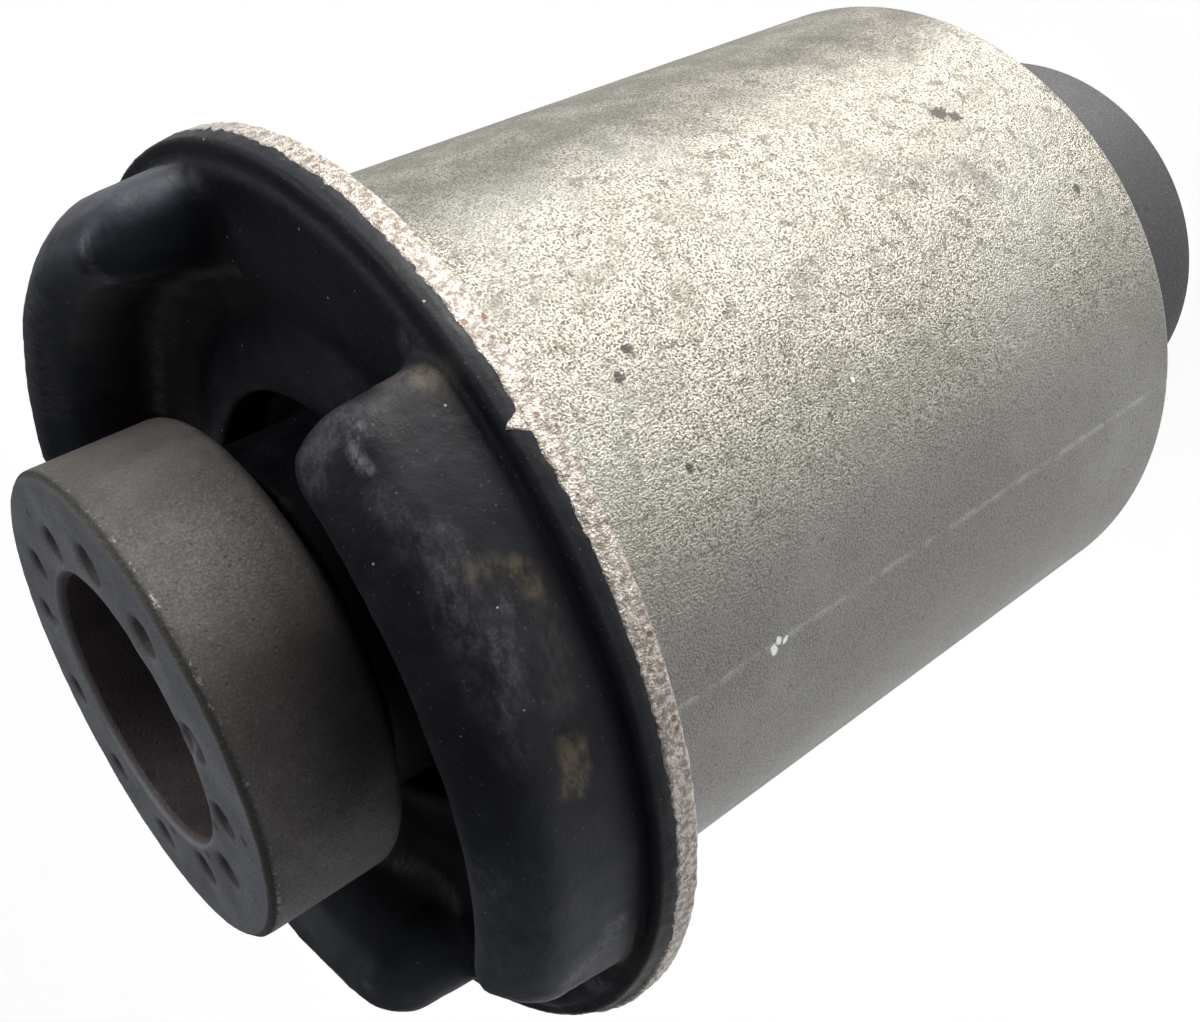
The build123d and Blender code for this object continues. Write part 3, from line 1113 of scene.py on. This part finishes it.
def dark_steel():
    """Phosphated steel: brown-grey and finely pitted, bluer on its end face, bright where it is rubbed,
    with painted glints heaped on one side of its upper edge and painted shade in its dimples.
    """
    surface = Surface("dark_steel", STEEL_COLOURS)
    grain = surface.noise(0.20, 3, 0.6)
    clouds = surface.noise(5.0, 4, 0.6)
    pits = surface.spots(0.55, 0.28, 0.35)
    scars = surface.spots(3.4, 0.17, 0.45)

    cloudy = surface.span(clouds, 0.35, 0.68)
    side = surface.mix(cloudy, "side_dark", "side_light")
    face = surface.mix(cloudy, "face_dark", "face_light")
    bore = surface.mix(cloudy, "bore_dark", "bore_light")
    on_face = surface.span(surface.height(), SLEEVE_LENGTH - 0.35, SLEEVE_LENGTH - 0.12)
    in_bore = surface.span(surface.radius(), BORE_RADIUS + 0.1, BORE_RADIUS + 0.5, 1.0, 0.0)
    low = surface.span(surface.height(), 30.0, 60.0, 0.8, 0.0)
    colour = surface.mix(on_face, surface.mix(low, side, "foot"), face)
    colour = surface.mix(in_bore, colour, bore)

    colour = surface.mix(surface.stored("chamfer", 0.9), colour, "chamfer")
    # The dimples are painted darker: painted shade.
    colour = surface.mix(surface.stored("dimple", 0.8), colour, "dimple")
    colour = surface.mix(surface.span(grain, 0.52, 0.72, 0.0, 0.35), colour, "light_grain")
    colour = surface.mix(surface.span(grain, 0.48, 0.30, 0.0, 0.45), colour, "dark_grain")
    colour = surface.mix(surface.times(pits, 0.5), colour, "pit")
    colour = surface.mix(surface.times(scars, 0.6), colour, "scar")
    # Worn bright metal along the upper edge, with painted glints heaped on one side.
    broken = surface.span(surface.noise(0.8, 5, 0.7), 0.54, 0.66)
    bright = surface.stored("edge", broken)
    colour = surface.mix(bright, colour, "worn_edge_and_glint")
    colour = surface.mix(surface.stored("rubbed", 0.5), colour, "rubbed")

    metallic = surface.calc("ADD", 0.15, surface.times(bright, 0.7))
    roughness = surface.span(grain, 0.35, 0.65, 0.72, 0.56)
    holes = surface.times(surface.calc("ADD", pits, scars), 0.7)
    normal = surface.bump(clouds, 0.06)
    normal = surface.bump(surface.calc("SUBTRACT", grain, holes), 0.035, normal)
    return surface.finish(colour, metallic, roughness, normal)


# ======== studio ========
# Places and sizes are in metres, powers in watts and spreads in degrees.
WORLD_COLOUR = (0.95, 0.97, 1.0, 1)
WORLD_STRENGTH = 0.17
LAMPS = {
    "key": dict(
        place=(0.15, 0.30, -0.10), aim=(0, 0, 0.06), size=0.20, power=2.3, colour=(1, 0.98, 0.94)
    ),
    "fill": dict(place=(-0.05, 0.35, 0.40), aim=(0, 0, 0.09), size=0.30, power=1.0),
    "floor_wash": dict(place=(-0.60, 0, 0.40), aim=(-0.60, 0, 0), size=8.0, power=200.0, spread=60),
}
FLOOR_REACH = 8.0
FLOOR_COLOURS = {"darker": (0.86, 0.86, 0.86), "lighter": (0.90, 0.90, 0.90)}


def camera():
    """A camera with the photograph's place, direction and frame."""
    data = bpy.data.cameras.new("camera")
    data.sensor_width = SENSOR_WIDTH
    data.lens = FOCAL_PIXELS / PHOTO_SIZE[0] * SENSOR_WIDTH
    data.shift_x = (PHOTO_SIZE[0] / 2 - CENTRE_PIXEL[0]) / PHOTO_SIZE[0]
    data.shift_y = (CENTRE_PIXEL[1] - PHOTO_SIZE[1] / 2) / PHOTO_SIZE[0]
    data.clip_start = 0.005
    data.clip_end = 50
    holder = linked("camera", data)
    turn = Matrix(camera_axes()).transposed().to_4x4()
    holder.matrix_world = Matrix.Translation(CAMERA_PLACE * MM) @ turn
    bpy.context.scene.camera = holder


def lamp(name, lit, place, aim, size, power, colour=(1, 1, 1), spread=180):
    """A soft square lamp that lights some objects only, and is shaded by nothing else."""
    data = bpy.data.lights.new(name, "AREA")
    data.shape = "SQUARE"
    data.size = size
    data.energy = power
    data.color = colour
    data.spread = math.radians(spread)
    holder = linked(name, data)
    turn = (Vector(aim) - Vector(place)).to_track_quat("-Z", "Y").to_matrix().to_4x4()
    holder.matrix_world = Matrix.Translation(place) @ turn
    group = bpy.data.collections.new("lit_by_" + name)
    for piece in lit:
        group.objects.link(piece)
    holder.light_linking.receiver_collection = group
    holder.light_linking.blocker_collection = group


def pale_floor():
    """A wide plain floor."""
    mesh = bpy.data.meshes.new("floor")
    far = FLOOR_REACH
    mesh.from_pydata([(-far, -far, 0), (far, -far, 0), (far, far, 0), (-far, far, 0)], [], [(0, 1, 2, 3)])
    surface = Surface("pale_floor", FLOOR_COLOURS)
    tone = surface.mix(surface.noise(400.0, 2), "darker", "lighter")
    mesh.materials.append(surface.finish(tone, 0.0, 0.9, surface.bump(surface.noise(2.0, 2), 0.01)))
    floor = linked("floor", mesh)
    return floor


def studio(pieces):
    """The floor, an even soft light from all round, two lamps for the bush and one for the floor."""
    floor = pale_floor()
    world = bpy.data.worlds.new("studio")
    bpy.context.scene.world = world
    world.use_nodes = True
    background = world.node_tree.nodes["Background"]
    background.inputs["Color"].default_value = WORLD_COLOUR
    background.inputs["Strength"].default_value = WORLD_STRENGTH
    lamp("key", pieces, **LAMPS["key"])
    lamp("fill", pieces, **LAMPS["fill"])
    lamp("floor_wash", [floor], **LAMPS["floor_wash"])


# ======== assembly ========
def dress(piece, replaced, material):
    """Gives a piece its material, and puts it in place of the solid that it shows."""
    piece.data.materials.append(material)
    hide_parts(replaced)
    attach(piece, "root")


rubber = rubber_body()
add_marks(rubber, RUBBER_MARKS)
add_shares(rubber, film=film_share)
dress(rubber, "rubber_body", rubber_material())

tube = outer_sleeve()
add_marks(tube, TUBE_MARKS)
add_shares(tube, rim=rim_share, dull=dull_share, rich=rich_share, seam=seam_share)
zinc = coated_steel(spots_on(tube, DARK_SPOTS), spots_on(tube, PALE_SPOTS))
dress(tube, "outer_sleeve", zinc)

sleeve = inner_sleeve()
add_shares(sleeve, dimple=dimple_shade_share, chamfer=chamfer_share, edge=edge_wear_and_glint_share, rubbed=rubbed_share)
dress(sleeve, "inner_sleeve", dark_steel())

camera()
studio([rubber, tube, sleeve])
bpy.context.scene.view_settings.view_transform = "Standard"
